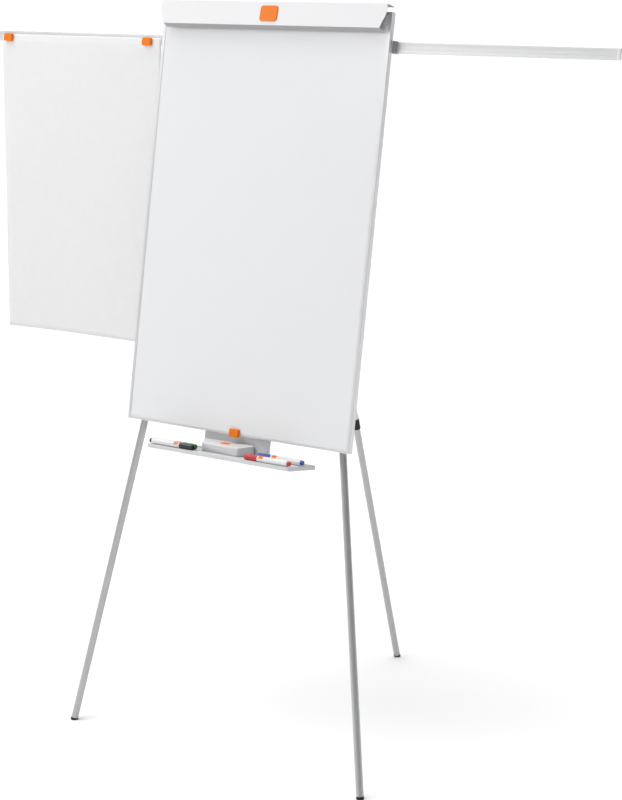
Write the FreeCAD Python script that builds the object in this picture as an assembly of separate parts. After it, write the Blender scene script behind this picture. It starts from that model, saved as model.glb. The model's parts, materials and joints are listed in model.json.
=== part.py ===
"""Flip chart easel: a leaning board with a pad clamp, two pull-out arms, a pen tray and a tripod.

Millimetres, +Z up, front towards -Y, floor at Z = 0. The origin is on the floor, in the middle of
the space that the stand covers. The board, its fittings, the tray and the two front legs are drawn
upright in the board's own frame, and then leaned back: X across, Y backwards from the front face,
Z up from the board's bottom edge.
"""
import FreeCAD, Part
import math
import os

# Board
BOARD_W = 680.0
BOARD_H = 1050.0
BOARD_T = 15.0
BOARD_TILT = 9.8
BOARD_BASE_Z = 810.0
FRAME_LIP = 7.5
FRAME_BACK_LIP = 12.0
FRAME_WALL = 1.2
FACE_SHEET_T = 0.5

# Pad clamp along the top edge
CLAMP_W = 672.0
CLAMP_SHEET = 1.5
CLAMP_TOP_Z = 1067.0
CLAMP_FRONT_Y = -18.0
CLAMP_FOOT_Y = -25.0
CLAMP_FOOT_Z = 1009.0
CLAMP_LIP_Y = -8.0
CLAMP_LIP_Z = 1001.5
CLAMP_REAR_Y = 14.0
CLAMP_REAR_Z = 1064.0
CLAMP_ROD_Y = 7.5
CLAMP_ROD_Z = 1057.5
CLAMP_ROD_R = 2.5
HINGE_BLOCK_X = 262.0
CLAMP_EAR_X = 286.0

# Pad hooks
HOOK_X = 200.0
HOOK_W = 16.0
HOOK_SHEET = 1.5
HOOK_GAP = 0.3
PEG_R = 4.0
PEG_L = 11.0

# Pull-out arms and their rail
ARM_TOP_Z = 983.0
ARM_H = 26.5
ARM_T = 7.6
ARM_WALL = 1.2
ARM_END_X = 924.7
ARM_CAP = 9.0
ARM_INNER_X = 260.0
ARM_PLAY = 0.3
RAIL_WALL = 0.9
RAIL_END_X = 338.0
GUIDE_END_X = 347.0

# Tripod
TUBE_R = 10.0
TUBE_BORE_R = 9.08
LOWER_R = 9.0
LOWER_BORE_R = 8.0
COLLAR_R = 10.9
COLLAR_L = 30.0
COLLAR_OVER_TUBE = 18.0
FRONT_OVERLAP = 180.0
REAR_OVERLAP = 290.0
FOOT_R = 9.7
FOOT_H = 6.0
PIVOT_R = 4.0
PIVOT_PLAY = 0.06
LEG_START = 18.0
FRONT_PIVOT_X = 140.6
FRONT_PIVOT_Z = 928.0
FRONT_LEG_Y = 28.0
FRONT_SPLAY = 10.02
FRONT_COLLAR = 908.0
REAR_PIVOT_Y = 55.5
REAR_PIVOT_Z = 1008.0
REAR_FOOT_REACH = 780.0
REAR_COLLAR = 1097.0

# Pen tray
TRAY_HALF_W = 218.0
TRAY_FRONT_Y = -68.0
TRAY_REAR_Y = 51.0
TRAY_TOP_Z = -47.4
TRAY_RIM = 9.6
TRAY_SHEET = 1.2
BRACKET_HALF_W = 100.5
BRACKET_T = 1.5

# Loose things on the easel
LOOSE_GAP = 0.3
MARKER_R = 7.5
MARKER_L = 134.0
CAP_L = 38.5
TAIL_L = 7.0
MAGNET = (28.0, 8.0, 20.0)
SHEET_LEFT_X = -902.0
SHEET_RIGHT_X = -355.0
SHEET_TOP_Z = 975.0
SHEET_H = 800.0
SHEET_T = 0.9

V = FreeCAD.Vector
X_AXIS = V(1, 0, 0)
Y_AXIS = V(0, 1, 0)
Z_AXIS = V(0, 0, 1)
TILT = math.radians(BOARD_TILT)
SPLAY = math.radians(FRONT_SPLAY)


def leaned_point(x, y, z):
    """Board-frame point, measured from the foot of the board, before the stand is centred."""
    return V(x, y * math.cos(TILT) + z * math.sin(TILT),
             BOARD_BASE_Z + z * math.cos(TILT) - y * math.sin(TILT))


FRONT_LEG_L = ((BOARD_BASE_Z - FRONT_LEG_Y * math.sin(TILT) + FRONT_PIVOT_Z * math.cos(TILT))
               / (math.cos(TILT) * math.cos(SPLAY)))
FRONT_FOOT = leaned_point(FRONT_PIVOT_X + FRONT_LEG_L * math.sin(SPLAY), FRONT_LEG_Y,
                          FRONT_PIVOT_Z - FRONT_LEG_L * math.cos(SPLAY))
REAR_PIVOT = leaned_point(0, REAR_PIVOT_Y, REAR_PIVOT_Z)
REAR_FOOT = V(0, REAR_FOOT_REACH, 0)
REAR_LEG_L = (REAR_FOOT - REAR_PIVOT).Length
CENTRE_Y = (FRONT_FOOT.y + REAR_FOOT.y) / 2


def lean(shape):
    """Move a shape from the board's frame to its place in the stand."""
    placed = shape.copy()
    placed.rotate(V(0, 0, 0), X_AXIS, -BOARD_TILT)
    placed.translate(V(0, -CENTRE_Y, BOARD_BASE_Z))
    return placed


def box(x0, x1, y0, y1, z0, z1):
    return Part.makeBox(x1 - x0, y1 - y0, z1 - z0, V(x0, y0, z0))


def cylinder(radius, start, end):
    return Part.makeCylinder(radius, (end - start).Length, start, end - start)


def ring(outer_r, inner_r, start, end):
    return cylinder(outer_r, start, end).cut(cylinder(inner_r, start, end))


def side_profile(points, x0, x1):
    """Prism along X from an outline of (y, z) points."""
    outline = [V(x0, y, z) for y, z in points]
    face = Part.Face(Part.makePolygon(outline + outline[:1]))
    return face.extrude(V(x1 - x0, 0, 0))


def plan_profile(points, z0, z1):
    """Prism along Z from an outline of (x, y) points."""
    outline = [V(x, y, z0) for x, y in points]
    face = Part.Face(Part.makePolygon(outline + outline[:1]))
    return face.extrude(V(0, 0, z1 - z0))


def folded_strip(points, thickness):
    """Outline of a sheet of even thickness that follows (y, z) points, on the right of the path."""
    offset = []
    for i, (y, z) in enumerate(points):
        before = points[max(i - 1, 0)]
        after = points[min(i + 1, len(points) - 1)]
        normals = []
        for (ya, za), (yb, zb) in ((before, (y, z)), ((y, z), after)):
            run = math.hypot(yb - ya, zb - za)
            if run > 0:
                normals.append(((zb - za) / run, -(yb - ya) / run))
        ny = sum(n[0] for n in normals) / len(normals)
        nz = sum(n[1] for n in normals) / len(normals)
        scale = thickness / (ny * ny + nz * nz)
        offset.append((y + ny * scale, z + nz * scale))
    return points + offset[::-1]


def mirrored(shape):
    return shape.mirror(V(0, 0, 0), X_AXIS)


def edges_along(shape, axis):
    found = []
    for edge in shape.Edges:
        if len(edge.Vertexes) == 2 and isinstance(edge.Curve, Part.Line):
            run = edge.Vertexes[1].Point - edge.Vertexes[0].Point
            if run.normalize().cross(axis).Length < 1e-6:
                found.append(edge)
    return found


def rivet_shank(x, z, face_y, depth):
    return cylinder(1.6, V(x, face_y - depth, z), V(x, face_y, z))


def pan_rivet(x, z, face_y, depth):
    """Round-headed rivet through a sheet of the given depth, its head on the sheet's rear face."""
    head = Part.makeSphere(4.2, V(x, face_y - 2.7, z))
    head = head.common(box(x - 5, x + 5, face_y, face_y + 4, z - 5, z + 5))
    return head.fuse(rivet_shank(x, z, face_y, depth))


def drilled(shape, places, face_y, depth):
    for x, z in places:
        shape = shape.cut(rivet_shank(x, z, face_y, depth))
    return shape


def save(name, *shapes):
    solids = [solid for shape in shapes for solid in shape.Solids]
    whole = solids[0] if len(solids) == 1 else Part.makeCompound(solids)
    assert whole.isValid(), name
    whole.exportStep("parts/%s.step" % name)


# Board ---------------------------------------------------------------------------------------

def frame_section(length):
    """Slim C profile along Z, its outer wall at X = 0, open towards +X."""
    edge = 0.8
    inner_y = BOARD_T - FRAME_WALL
    outline = [(0, edge), (edge, 0), (FRAME_LIP, 0), (FRAME_LIP, FRAME_WALL), (FRAME_WALL, FRAME_WALL),
               (FRAME_WALL, inner_y), (FRAME_BACK_LIP, inner_y), (FRAME_BACK_LIP, BOARD_T),
               (edge, BOARD_T), (0, BOARD_T - edge)]
    profile = plan_profile(outline, 0, length)
    mitre = FRAME_BACK_LIP + 1
    keep = Part.Face(Part.makePolygon([V(0, -1, 0), V(mitre, -1, mitre), V(mitre, -1, length - mitre),
                                       V(0, -1, length), V(0, -1, 0)]))
    return profile.common(keep.extrude(V(0, BOARD_T + 2, 0)))


def make_board():
    half = BOARD_W / 2
    left = frame_section(BOARD_H)
    left.translate(V(-half, 0, 0))
    rivet_x = half - FRAME_BACK_LIP / 2
    places = [(-rivet_x, z) for z in (60.0, 370.0, 680.0, 900.0)]
    left = drilled(left, places, BOARD_T, FRAME_WALL)
    rivets = [pan_rivet(x, z, BOARD_T, FRAME_WALL) for x, z in places]
    rivets += [mirrored(rivet) for rivet in rivets]
    save("frame_rivets", *[lean(rivet) for rivet in rivets])
    bottom = frame_section(BOARD_W)
    bottom.rotate(V(0, 0, 0), Y_AXIS, 90)
    bottom = bottom.mirror(V(0, 0, 0), Z_AXIS)
    bottom.translate(V(-half, 0, 0))
    top = bottom.mirror(V(0, 0, BOARD_H / 2), Z_AXIS)
    save("frame_left", lean(left))
    save("frame_right", lean(mirrored(left)))
    save("frame_bottom", lean(bottom))
    save("frame_top", lean(top))
    inset = FRAME_WALL + 0.3
    layers = (("writing_sheet", FRAME_WALL, FRAME_WALL + FACE_SHEET_T),
              ("board_core", FRAME_WALL + FACE_SHEET_T, BOARD_T - FRAME_WALL - FACE_SHEET_T),
              ("back_sheet", BOARD_T - FRAME_WALL - FACE_SHEET_T, BOARD_T - FRAME_WALL))
    for name, front, back in layers:
        save(name, lean(box(-half + inset, half - inset, front, back, inset, BOARD_H - inset)))




# Arms ----------------------------------------------------------------------------------------

ARM_Z0 = ARM_TOP_Z - ARM_H
CHAMBER_T = ARM_T + 2 * ARM_PLAY
FRONT_CHAMBER_Y = BOARD_T + RAIL_WALL
REAR_CHAMBER_Y = FRONT_CHAMBER_Y + CHAMBER_T + RAIL_WALL
RAIL_BACK_Y = REAR_CHAMBER_Y + CHAMBER_T + RAIL_WALL
RAIL_Z0 = ARM_Z0 - ARM_PLAY - RAIL_WALL
RAIL_Z1 = ARM_TOP_Z + ARM_PLAY + RAIL_WALL
RAIL_FLANGE_Z = RAIL_Z1 + 11.0
RAIL_RIVETS = [(x, RAIL_Z1 + 5.5) for x in (-300.0, -150.0, 150.0, 300.0)]


def make_arm_rail():
    rail = box(-RAIL_END_X, RAIL_END_X, BOARD_T, RAIL_BACK_Y, RAIL_Z0, RAIL_Z1)
    flange = box(-RAIL_END_X, RAIL_END_X, BOARD_T, BOARD_T + 1.5, RAIL_Z1, RAIL_FLANGE_Z)
    rail = rail.fuse(flange).removeSplitter()
    rail = drilled(rail, RAIL_RIVETS, BOARD_T + 1.5, 1.5)
    for y in (FRONT_CHAMBER_Y, REAR_CHAMBER_Y):
        rail = rail.cut(box(-RAIL_END_X, RAIL_END_X, y, y + CHAMBER_T,
                            ARM_Z0 - ARM_PLAY, ARM_TOP_Z + ARM_PLAY))
    save("arm_rail", lean(rail))


def arm_guide(open_y, closed_y):
    """Plastic mouth on the rail's right end: a window for one arm and a plug for the other."""
    body = box(RAIL_END_X, GUIDE_END_X, BOARD_T, RAIL_BACK_Y, RAIL_Z0, RAIL_Z1)
    body = body.makeFillet(0.8, edges_along(body, X_AXIS))
    window = box(RAIL_END_X - 1, GUIDE_END_X + 1, open_y + 0.1, open_y + CHAMBER_T - 0.1,
                 ARM_Z0 - ARM_PLAY + 0.1, ARM_TOP_Z + ARM_PLAY - 0.1)
    plug = box(RAIL_END_X - 10, RAIL_END_X, closed_y + 0.1, closed_y + CHAMBER_T - 0.1,
               ARM_Z0 - ARM_PLAY + 0.1, ARM_TOP_Z + ARM_PLAY - 0.1)
    return body.cut(window).fuse(plug)


def make_arm_guides():
    right = arm_guide(REAR_CHAMBER_Y, FRONT_CHAMBER_Y)
    left = mirrored(arm_guide(FRONT_CHAMBER_Y, REAR_CHAMBER_Y))
    save("arm_guides", lean(left), lean(right))


def arm_tube(y):
    """Right-hand arm: a flat hollow bar with two shallow grooves along each face."""
    end = ARM_END_X - ARM_CAP
    bar = box(ARM_INNER_X, end, y, y + ARM_T, ARM_Z0, ARM_TOP_Z)
    bar = bar.makeFillet(0.8, edges_along(bar, X_AXIS))
    bar = bar.cut(box(ARM_INNER_X, end, y + ARM_WALL, y + ARM_T - ARM_WALL,
                      ARM_Z0 + ARM_WALL, ARM_TOP_Z - ARM_WALL))
    groove_depth = 0.4
    for z in (ARM_Z0 + 7.0, ARM_TOP_Z - 9.0):
        for face_y in (y, y + ARM_T - groove_depth):
            bar = bar.cut(box(ARM_INNER_X, end, face_y, face_y + groove_depth, z, z + 2.0))
    return bar


def arm_cap(y):
    end = ARM_END_X - ARM_CAP
    cap = box(end, ARM_END_X, y, y + ARM_T, ARM_Z0, ARM_TOP_Z)
    outer = [e for e in cap.Edges if abs(e.CenterOfMass.x - ARM_END_X) < 1e-6]
    cap = cap.makeFillet(1.5, outer)
    plug = box(end - 12, end, y + ARM_WALL + 0.1, y + ARM_T - ARM_WALL - 0.1,
               ARM_Z0 + ARM_WALL + 0.1, ARM_TOP_Z - ARM_WALL - 0.1)
    return cap.fuse(plug)


def make_arms():
    front_y = FRONT_CHAMBER_Y + ARM_PLAY
    rear_y = REAR_CHAMBER_Y + ARM_PLAY
    save("left_arm", lean(mirrored(arm_tube(front_y))))
    save("left_arm_cap", lean(mirrored(arm_cap(front_y))))
    save("right_arm", lean(arm_tube(rear_y)))
    save("right_arm_cap", lean(arm_cap(rear_y)))


# Pad clamp -----------------------------------------------------------------------------------

def make_clamp_bar():
    half = CLAMP_W / 2
    path = [(CLAMP_REAR_Y, CLAMP_REAR_Z), (CLAMP_FRONT_Y, CLAMP_TOP_Z),
            (CLAMP_FOOT_Y, CLAMP_FOOT_Z), (CLAMP_LIP_Y, CLAMP_LIP_Z)]
    bar = side_profile(folded_strip(path, -CLAMP_SHEET), -half, half)
    corner_z = 1045.0
    corner_in = 14.0
    for side in (-1, 1):
        cut = Part.Face(Part.makePolygon([
            V(side * (half + 1), -60, corner_z), V(side * (half - corner_in), -60, CLAMP_FOOT_Z),
            V(side * (half - corner_in), -60, CLAMP_LIP_Z - 5), V(side * (half + 1), -60, CLAMP_LIP_Z - 5),
            V(side * (half + 1), -60, corner_z)])).extrude(V(0, 90, 0))
        bar = bar.cut(cut)
    ear_r = 6.0
    for side in (-1, 1):
        x0 = side * CLAMP_EAR_X - 1
        axis_start = V(x0, CLAMP_ROD_Y, CLAMP_ROD_Z)
        axis_end = axis_start + V(2, 0, 0)
        ear = cylinder(ear_r, axis_start, axis_end)
        ear = ear.fuse(box(x0, x0 + 2, CLAMP_ROD_Y - ear_r, CLAMP_ROD_Y + ear_r, CLAMP_ROD_Z,
                           CLAMP_REAR_Z - CLAMP_SHEET + 0.3))
        ear = ear.cut(cylinder(CLAMP_ROD_R + PIVOT_PLAY, axis_start, axis_end))
        bar = bar.fuse(ear)
    save("clamp_bar", lean(bar.removeSplitter()))


def on_clamp_face(shape):
    """Lay a shape drawn on the plane Y = 0 onto the middle of the clamp's front face."""
    slope = math.degrees(math.atan2(CLAMP_FRONT_Y - CLAMP_FOOT_Y, CLAMP_TOP_Z - CLAMP_FOOT_Z))
    placed = shape.copy()
    placed.rotate(V(0, 0, 0), X_AXIS, -slope)
    placed.translate(V(0, (CLAMP_FRONT_Y + CLAMP_FOOT_Y) / 2, (CLAMP_TOP_Z + CLAMP_FOOT_Z) / 2))
    return placed


def rounded_plate(width, thickness, height, corner_r, edge_r):
    """Plate standing on its back at Y = 0, its front towards -Y."""
    plate = box(-width / 2, width / 2, -thickness, 0, -height / 2, height / 2)
    plate = plate.makeFillet(corner_r, edges_along(plate, Y_AXIS))
    front = [e for e in plate.Edges if abs(e.CenterOfMass.y + thickness) < 1e-6]
    return plate.makeFillet(edge_r, front)


def make_clamp_fittings():
    badge = rounded_plate(51.0, 3.0, 38.0, 7.0, 1.2)
    save("clamp_badge", lean(on_clamp_face(badge)))
    blocks = []
    springs = []
    knuckle_r = 4.2
    for x in (-HINGE_BLOCK_X, 0.0, HINGE_BLOCK_X):
        start = V(x - 8, CLAMP_ROD_Y, CLAMP_ROD_Z)
        end = V(x + 8, CLAMP_ROD_Y, CLAMP_ROD_Z)
        block = box(x - 8, x + 8, CLAMP_ROD_Y - knuckle_r, CLAMP_ROD_Y + knuckle_r, BOARD_H, CLAMP_ROD_Z)
        block = block.fuse(cylinder(knuckle_r, start, end)).removeSplitter()
        blocks.append(lean(block.cut(cylinder(CLAMP_ROD_R, start, end))))
    rod_end = CLAMP_EAR_X + 5
    rod = cylinder(CLAMP_ROD_R, V(-rod_end, CLAMP_ROD_Y, CLAMP_ROD_Z), V(rod_end, CLAMP_ROD_Y, CLAMP_ROD_Z))
    for side in (-1, 1):
        x0 = side * (HINGE_BLOCK_X + 8.2)
        x1 = x0 + side * 12
        springs.append(lean(ring(3.9, CLAMP_ROD_R + 0.1, V(x0, CLAMP_ROD_Y, CLAMP_ROD_Z),
                                 V(x1, CLAMP_ROD_Y, CLAMP_ROD_Z))))
    save("hinge_blocks", *blocks)
    save("clamp_rod", lean(rod))
    save("clamp_springs", *springs)


# Pad hooks -----------------------------------------------------------------------------------

HOOK_KNOB_Z = 1038.0
HOOK_PEG_Z = 1034.0


def pad_hook():
    x0 = HOOK_X - HOOK_W / 2
    x1 = HOOK_X + HOOK_W / 2
    front = -HOOK_GAP - HOOK_SHEET
    back = BOARD_T + HOOK_GAP + HOOK_SHEET
    top = BOARD_H + HOOK_GAP + HOOK_SHEET
    saddle = box(x0, x1, front, back, 1026.0, top)
    saddle = saddle.cut(box(x0, x1, -HOOK_GAP, BOARD_T + HOOK_GAP, 1020.0, BOARD_H + HOOK_GAP))
    peg = cylinder(PEG_R, V(HOOK_X, front - PEG_L, HOOK_PEG_Z), V(HOOK_X, front, HOOK_PEG_Z))
    peg = peg.makeChamfer(0.8, [e for e in peg.Edges if abs(e.CenterOfMass.y - front + PEG_L) < 1e-6])
    hole = cylinder(2.5 + PIVOT_PLAY, V(HOOK_X, BOARD_T, HOOK_KNOB_Z), V(HOOK_X, back + 1, HOOK_KNOB_Z))
    return saddle.fuse(peg).cut(hole)


def hook_knob():
    back = BOARD_T + HOOK_GAP + HOOK_SHEET
    shank = cylinder(2.5, V(HOOK_X, BOARD_T + 0.2, HOOK_KNOB_Z), V(HOOK_X, back + 0.3, HOOK_KNOB_Z))
    knob = cylinder(8.0, V(HOOK_X, back + 0.3, HOOK_KNOB_Z), V(HOOK_X, back + 10.3, HOOK_KNOB_Z))
    flutes = 10
    for i in range(flutes):
        turn = 2 * math.pi * i / flutes
        centre = V(HOOK_X + 8.6 * math.cos(turn), back, HOOK_KNOB_Z + 8.6 * math.sin(turn))
        knob = knob.cut(cylinder(1.5, centre, centre + V(0, 12, 0)))
    return knob.fuse(shank)


def make_pad_hooks():
    hook = pad_hook()
    knob = hook_knob()
    save("right_pad_hook", lean(hook))
    save("left_pad_hook", lean(mirrored(hook)))
    save("right_hook_knob", lean(knob))
    save("left_hook_knob", lean(mirrored(knob)))


# Brackets on the board's back ----------------------------------------------------------------

HUB_TOP_Z = 952.0
HUB_FOOT_Z = 905.0
HUB_HALF_W = 165.0
HUB_BACK_Y = 41.0
HUB_WALL = 2.0
BRACKET_EAR = 2.5
HUB_RIVETS = [(x, 915.0) for x in (-80.0, 0.0, 80.0)]
BRACKET_RIVETS = [(-30.0, 1034.0), (30.0, 1034.0)]


def make_hub_channel():
    channel = box(-HUB_HALF_W, HUB_HALF_W, BOARD_T, HUB_BACK_Y, HUB_FOOT_Z, HUB_TOP_Z)
    channel = channel.cut(box(-HUB_HALF_W, HUB_HALF_W, BOARD_T + HUB_WALL, HUB_BACK_Y - HUB_WALL,
                              HUB_FOOT_Z, HUB_TOP_Z - HUB_WALL))
    channel = drilled(channel, HUB_RIVETS, BOARD_T + HUB_WALL, HUB_WALL)
    bolts = []
    for side in (-1, 1):
        x = side * FRONT_PIVOT_X
        start = V(x, BOARD_T, FRONT_PIVOT_Z)
        bolt = cylinder(PIVOT_R, start, V(x, HUB_BACK_Y, FRONT_PIVOT_Z))
        channel = channel.cut(bolt)
        corners = []
        for turn in range(0, 420, 60):
            spoke = V(6.5 * math.cos(math.radians(turn)), 0, 6.5 * math.sin(math.radians(turn)))
            corners.append(V(x, HUB_BACK_Y, FRONT_PIVOT_Z) + spoke)
        hexagon = Part.Face(Part.makePolygon(corners))
        bolts.append(lean(bolt.fuse(hexagon.extrude(V(0, 4.5, 0)))))
    save("hub_channel", lean(channel))
    save("leg_pivot_bolts", *bolts)


def make_rear_bracket():
    base = box(-40, 40, BOARD_T, BOARD_T + 2, 998, 1042)
    base = base.makeFillet(6.0, edges_along(base, Y_AXIS))
    base = drilled(base, BRACKET_RIVETS, BOARD_T + 2, 2)
    gap = TUBE_R + 0.8
    outline = [(BOARD_T + 2, 998), (REAR_PIVOT_Y, 998), (REAR_PIVOT_Y + 11, 1008), (REAR_PIVOT_Y + 6, 1018),
               (BOARD_T + 2, 1040)]
    bracket = base
    for x in (-gap - BRACKET_EAR, gap):
        bracket = bracket.fuse(side_profile(outline, x, x + BRACKET_EAR))
    reach = gap + BRACKET_EAR
    pin = cylinder(PIVOT_R, V(-reach, REAR_PIVOT_Y, REAR_PIVOT_Z), V(reach, REAR_PIVOT_Y, REAR_PIVOT_Z))
    bracket = bracket.cut(pin)
    for side in (-1, 1):
        pin = pin.fuse(cylinder(6.0, V(side * reach, REAR_PIVOT_Y, REAR_PIVOT_Z),
                                V(side * (reach + 2), REAR_PIVOT_Y, REAR_PIVOT_Z)))
    save("rear_leg_bracket", lean(bracket))
    save("rear_leg_pin", lean(pin))


def make_back_screws():
    screws = [pan_rivet(x, z, BOARD_T + 1.5, 1.5) for x, z in RAIL_RIVETS]
    screws += [pan_rivet(x, z, BOARD_T + 2, 2) for x, z in BRACKET_RIVETS]
    screws += [pan_rivet(x, z, BOARD_T + HUB_WALL, HUB_WALL) for x, z in HUB_RIVETS]
    save("back_screws", *[lean(screw) for screw in screws])


# Legs ----------------------------------------------------------------------------------------

def leg_head(cross_axis):
    """Moulded end of a leg, its pivot hole at the origin and its plug pointing down."""
    head = cylinder(TUBE_R, V(0, 0, -LEG_START), V(0, 0, 0)).fuse(Part.makeSphere(TUBE_R))
    head = head.fuse(cylinder(TUBE_BORE_R, V(0, 0, -LEG_START - 22), V(0, 0, -LEG_START)))
    hole = cylinder(PIVOT_R + PIVOT_PLAY, cross_axis * -12, cross_axis * 12)
    return head.cut(hole)


def collar(start):
    """Twist collar round the end of the upper tube, its bore stepping down to the lower tube."""
    top = V(0, 0, -start)
    step = V(0, 0, -start - COLLAR_OVER_TUBE)
    foot = V(0, 0, -start - COLLAR_L)
    body = cylinder(COLLAR_R, top, foot)
    body = body.makeChamfer(0.5, [e for e in body.Edges if isinstance(e.Curve, Part.Circle)])
    grooves = 16
    for i in range(grooves):
        turn = 2 * math.pi * i / grooves
        at = V((COLLAR_R + 0.35) * math.cos(turn), (COLLAR_R + 0.35) * math.sin(turn), 0)
        body = body.cut(cylinder(0.8, at + top + V(0, 0, -4), at + foot + V(0, 0, 4)))
    body = body.cut(cylinder(TUBE_R + PIVOT_PLAY, top, step))
    return body.cut(cylinder(LOWER_R + PIVOT_PLAY, step, foot))


def leg_pieces(length, collar_start, overlap, cross_axis):
    """Head, upper tube, collar, lower tube and foot of a leg that hangs straight down."""
    upper_end = collar_start + COLLAR_OVER_TUBE - 0.5
    upper = ring(TUBE_R, TUBE_BORE_R, V(0, 0, -LEG_START), V(0, 0, -upper_end))
    lower_start = upper_end - overlap
    lower_end = length - FOOT_H
    lower = ring(LOWER_R, LOWER_BORE_R, V(0, 0, -lower_start), V(0, 0, -lower_end))
    foot = cylinder(FOOT_R, V(0, 0, -lower_end), V(0, 0, -length - 8))
    foot = foot.fuse(cylinder(LOWER_BORE_R, V(0, 0, -lower_end + 22), V(0, 0, -lower_end)))
    return {"leg_head": leg_head(cross_axis), "upper_tube": upper, "collar": collar(collar_start),
            "lower_tube": lower, "foot": foot}


def save_leg(prefix, pieces):
    below_floor = Part.makeBox(3000, 3000, 100, V(-1500, -1500, -100))
    for kind, shape in pieces.items():
        if kind == "foot":
            shape = shape.cut(below_floor)
        save("%s_%s" % (prefix, kind), shape)


def make_front_legs():
    right = {}
    for kind, shape in leg_pieces(FRONT_LEG_L, FRONT_COLLAR, FRONT_OVERLAP, Y_AXIS).items():
        shape.rotate(V(0, 0, 0), Y_AXIS, -FRONT_SPLAY)
        shape.translate(V(FRONT_PIVOT_X, FRONT_LEG_Y, FRONT_PIVOT_Z))
        right[kind] = lean(shape)
    save_leg("right", right)
    save_leg("left", {kind: mirrored(shape) for kind, shape in right.items()})


def make_rear_leg():
    slope = math.degrees(math.atan2(REAR_FOOT.y - REAR_PIVOT.y, REAR_PIVOT.z))
    rear = {}
    for kind, shape in leg_pieces(REAR_LEG_L, REAR_COLLAR, REAR_OVERLAP, X_AXIS).items():
        shape.rotate(V(0, 0, 0), X_AXIS, slope)
        shape.translate(REAR_PIVOT - V(0, CENTRE_Y, 0))
        rear[kind] = shape
    save_leg("rear", rear)


# Pen tray ------------------------------------------------------------------------------------

def make_tray():
    """Shelf of folded sheet, its edges turned down, hung from the board by an angle bracket."""
    corner_r = 8.0
    edge_r = 1.0
    w = TRAY_HALF_W
    shelf = box(-w, w, TRAY_FRONT_Y, TRAY_REAR_Y, TRAY_TOP_Z - TRAY_RIM, TRAY_TOP_Z)
    shelf = shelf.makeFillet(corner_r, edges_along(shelf, Z_AXIS))
    shelf = shelf.makeFillet(edge_r, [e for e in shelf.Edges if abs(e.CenterOfMass.z - TRAY_TOP_Z) < 1e-6])
    s = TRAY_SHEET
    hollow = box(-w + s, w - s, TRAY_FRONT_Y + s, TRAY_REAR_Y - s, TRAY_TOP_Z - TRAY_RIM - 1, TRAY_TOP_Z - s)
    hollow = hollow.makeFillet(corner_r - s, edges_along(hollow, Z_AXIS))
    save("tray", lean(shelf.cut(hollow)))
    b = BRACKET_HALF_W
    bracket = box(-b, b, BOARD_T, BOARD_T + BRACKET_T, TRAY_TOP_Z, 28.0)
    bracket = bracket.fuse(box(-b, b, BOARD_T, 44.0, TRAY_TOP_Z, TRAY_TOP_Z + BRACKET_T)).removeSplitter()
    places = [(x, 16.0) for x in (-80.0, -27.0, 27.0, 80.0)]
    bracket = drilled(bracket, places, BOARD_T + BRACKET_T, BRACKET_T)
    screws = [pan_rivet(x, z, BOARD_T + BRACKET_T, BRACKET_T) for x, z in places]
    for x in (-75.0, 75.0):
        upright = pan_rivet(0, 0, BRACKET_T, BRACKET_T)
        upright.rotate(V(0, 0, 0), X_AXIS, 90)
        upright.translate(V(x, 31.0, TRAY_TOP_Z))
        shank = cylinder(1.6, V(x, 31.0, TRAY_TOP_Z), V(x, 31.0, TRAY_TOP_Z + BRACKET_T))
        bracket = bracket.cut(shank)
        screws.append(upright)
    save("tray_bracket", lean(bracket))
    save("tray_screws", *[lean(screw) for screw in screws])


# Loose things --------------------------------------------------------------------------------

ERASER_X = -16.0
ERASER_FRONT_Y = -35.7
ERASER_D = 46.7
ERASER_FRONT_HALF = 55.0
ERASER_REAR_HALF = 80.0
ERASER_FRONT_H = 20.4
ERASER_REAR_H = 28.9
FELT_H = 2.0


def eraser_plan(inset, z0, z1):
    front = ERASER_FRONT_Y + inset
    back = ERASER_FRONT_Y + ERASER_D - inset
    near = ERASER_FRONT_HALF - inset
    far = ERASER_REAR_HALF - inset
    prism = plan_profile([(ERASER_X - near, front), (ERASER_X + near, front),
                          (ERASER_X + far, back), (ERASER_X - far, back)], z0, z1)
    return prism.makeFillet(7.0, edges_along(prism, Z_AXIS))


def make_eraser():
    floor = TRAY_TOP_Z + LOOSE_GAP
    save("eraser_felt", lean(eraser_plan(1.2, floor, floor + FELT_H)))
    grip = eraser_plan(0.0, floor + FELT_H, floor + 40)
    back = ERASER_FRONT_Y + ERASER_D
    above = side_profile([(ERASER_FRONT_Y - 1, floor + ERASER_FRONT_H), (back + 1, floor + ERASER_REAR_H),
                          (back + 1, floor + 50), (ERASER_FRONT_Y - 1, floor + 50)],
                         ERASER_X - 120, ERASER_X + 120)
    grip = grip.cut(above)
    rim = [e for e in grip.Edges if e.BoundBox.ZMin > floor + ERASER_FRONT_H - 1]
    save("eraser_grip", lean(grip.makeFillet(2.5, rim)))


def marker(tail_x, y, direction):
    """Barrel with its nose and nib, and the cap over them; direction is +1 with the cap to the right."""
    z = TRAY_TOP_Z + LOOSE_GAP + MARKER_R

    def at(along):
        return V(tail_x + direction * along, y, z)

    shoulder = MARKER_L - CAP_L
    barrel = cylinder(5.6, at(0), at(TAIL_L))
    barrel = barrel.fuse([cylinder(MARKER_R - 0.1, at(TAIL_L), at(shoulder - 0.3)),
                          cylinder(5.0, at(shoulder - 0.3), at(shoulder + 22)),
                          cylinder(2.0, at(shoulder + 22), at(shoulder + 27))])
    cap = cylinder(MARKER_R, at(shoulder), at(MARKER_L))
    rim = [e for e in cap.Edges if abs(e.CenterOfMass.x - at(MARKER_L).x) < 1e-6]
    cap = cap.makeFillet(1.2, rim)
    cap = cap.cut(cylinder(5.5, at(shoulder), at(MARKER_L - 4)))
    return lean(barrel), lean(cap)


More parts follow.
